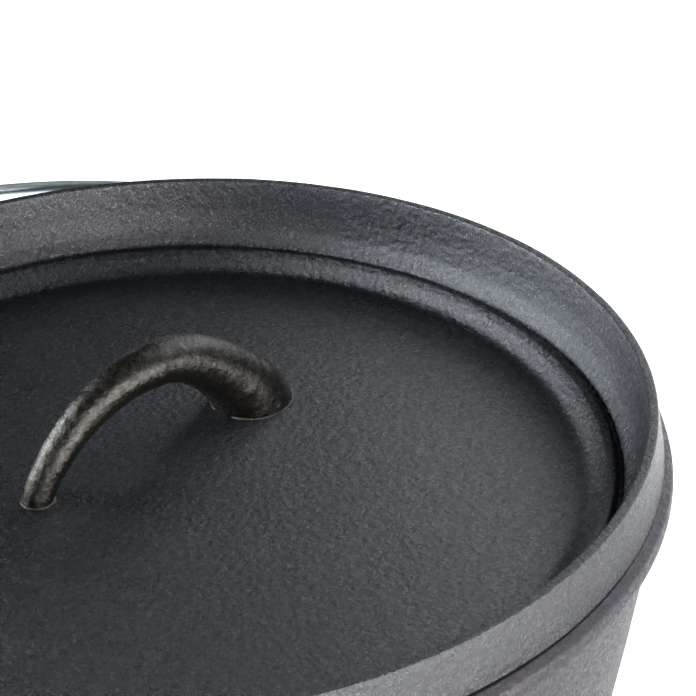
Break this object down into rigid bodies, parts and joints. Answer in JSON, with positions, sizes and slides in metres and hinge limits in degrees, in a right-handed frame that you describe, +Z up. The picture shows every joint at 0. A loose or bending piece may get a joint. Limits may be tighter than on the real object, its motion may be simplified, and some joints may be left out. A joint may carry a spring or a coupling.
{
  "type": "dutch oven",
  "caption": "Cast iron camp dutch oven on short legs, with a flanged lid, a loop handle on the lid and a wire bail that swings in two ears.",
  "frame": {"origin": "under the pot's centre, in the plane of its three feet", "axes": "+Z up through the lid, +Y along the bail's pivot axis to the back ear, -X towards the side the bail is folded to"},
  "size_m": [0.349, 0.373, 0.1726],
  "materials": {
    "pot_shell": "sand cast, grey seasoned coat, satin",
    "ear_front": "sand cast, grey seasoned coat, satin",
    "ear_back": "sand cast, grey seasoned coat, satin",
    "leg_a": "sand cast, grey seasoned coat, satin",
    "leg_b": "sand cast, grey seasoned coat, satin",
    "leg_c": "sand cast, grey seasoned coat, satin",
    "lid": "sand cast, fine grain, oiled satin",
    "lid_handle": "sand cast, dark brown-black, speckled",
    "bail": "galvanised drawn wire"
  },
  "bodies": {
    "pot": {"pot_shell": "pot_shell", "ear_front": "ear_front", "ear_back": "ear_back", "leg_a": "leg_a", "leg_b": "leg_b", "leg_c": "leg_c"},
    "lid": {"lid": "lid", "lid_handle": "lid_handle"},
    "bail": {"bail": "bail"}
  },
  "joints": [
    {"name": "bail_swing", "type": "hinge", "parent": "pot", "child": "bail", "pos_m": [0, 0, 0.125], "axis": [0, 1, 0], "range_deg": [0, 160]},
    {"name": "lid_lift", "type": "slide", "parent": "pot", "child": "lid", "axis": [0, 0, 1], "range_m": [0, 0.12]}
  ]
}
